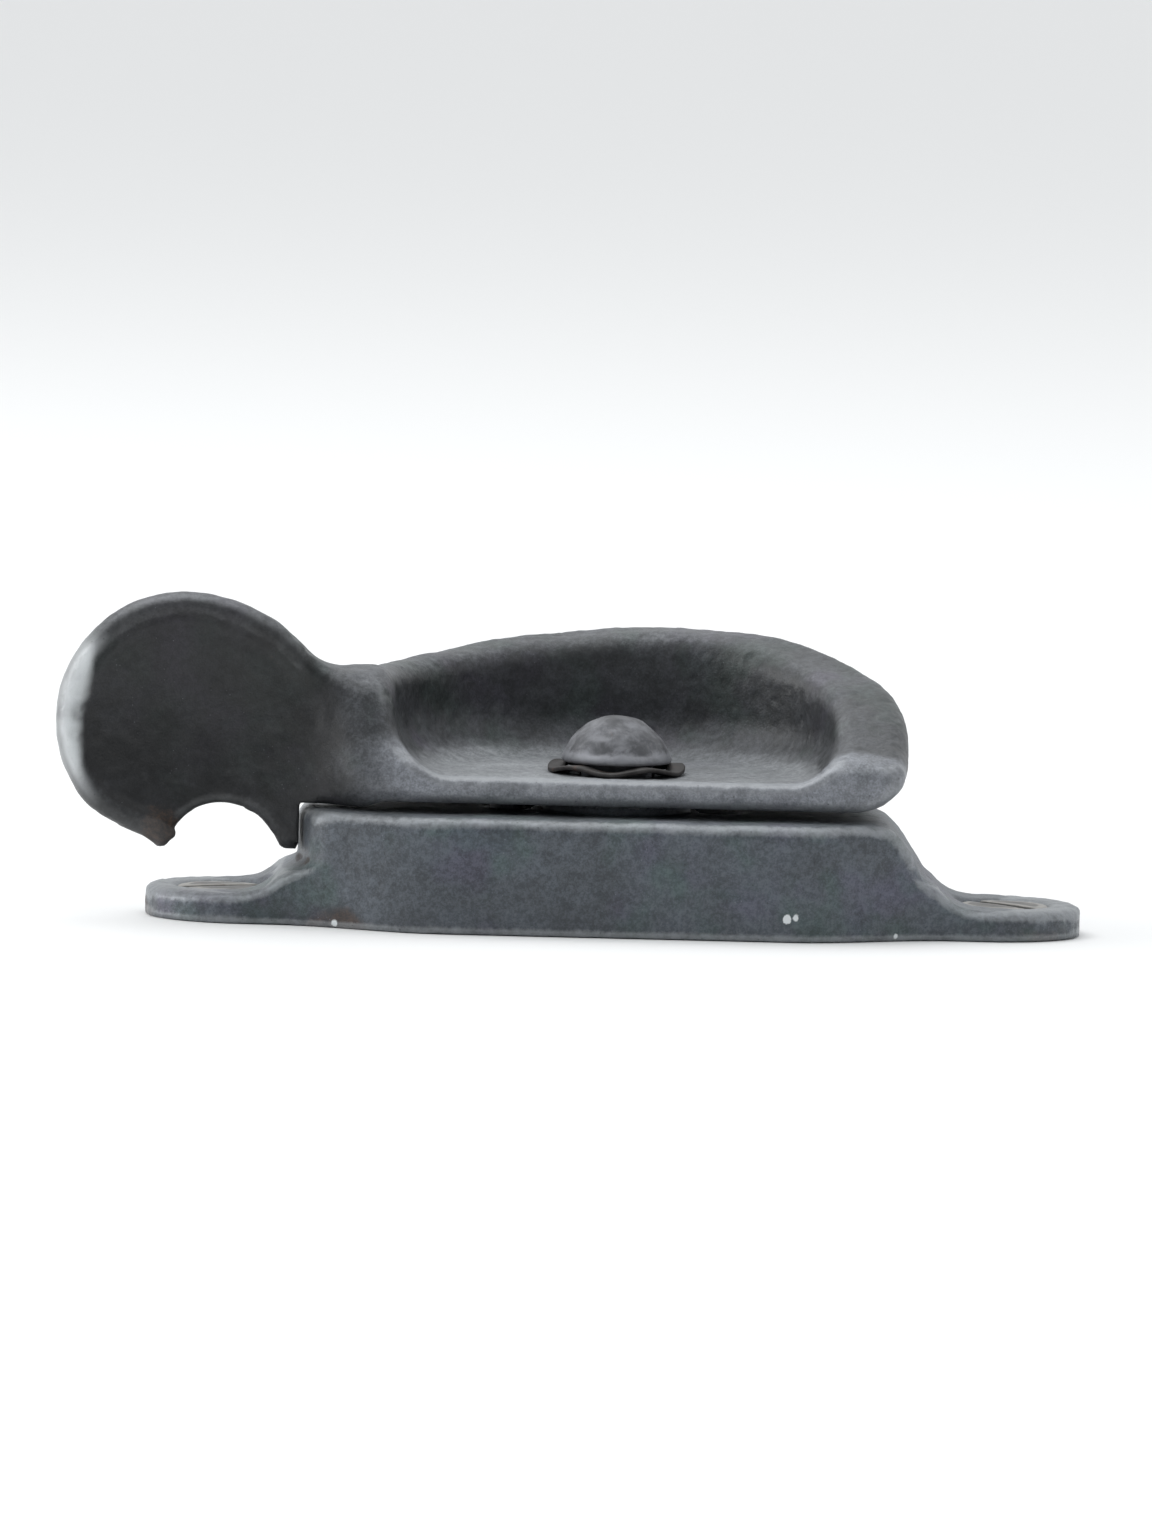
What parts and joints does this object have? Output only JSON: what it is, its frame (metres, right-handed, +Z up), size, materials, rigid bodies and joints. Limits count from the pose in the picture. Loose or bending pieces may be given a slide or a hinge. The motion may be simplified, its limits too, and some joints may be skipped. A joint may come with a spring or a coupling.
{
  "type": "crescent sash fastener",
  "caption": "Crescent sash fastener: a low cast base with a screw ear at each end, and a turning lever with an upstanding crescent wall, a domed rivet and a round finger disc.",
  "frame": {"origin": "on the rivet's axis, in the plane of the base's underside, midway between the two screws", "axes": "+X along the base, to the right seen from the keeper side; +Y towards the room; +Z up, along the rivet. The lever is stored open, with its finger disc over -X"},
  "size_m": [0.0765, 0.0323, 0.041],
  "materials": {
    "base_cast_iron": "aged blue-grey casting skin, dusty on top",
    "lever_cast_iron": "dark aged casting skin, worn bright on its edges",
    "rivet_steel": "hammered, dull and oxidised",
    "washer_steel": "dull, with rust in the gaps",
    "detent_steel": "pressed, greasy",
    "spring_steel": "blued strip",
    "screw_steel": "dull, with rust in the slot"
  },
  "bodies": {
    "base": {"base_casting": "base_cast_iron", "hairpin_spring": "spring_steel", "mounting_screw_left": "screw_steel", "mounting_screw_right": "screw_steel"},
    "lever": {"crescent_lever": "lever_cast_iron", "pivot_rivet": "rivet_steel", "wave_washer": "washer_steel", "detent_cam": "detent_steel", "retaining_washer": "detent_steel"}
  },
  "joints": [
    {"name": "lever_turn", "type": "hinge", "parent": "base", "child": "lever", "pos_m": [0, 0, 0], "axis": [0, 0, -1], "range_deg": [0, 180], "deforming": ["hairpin_spring"]}
  ]
}
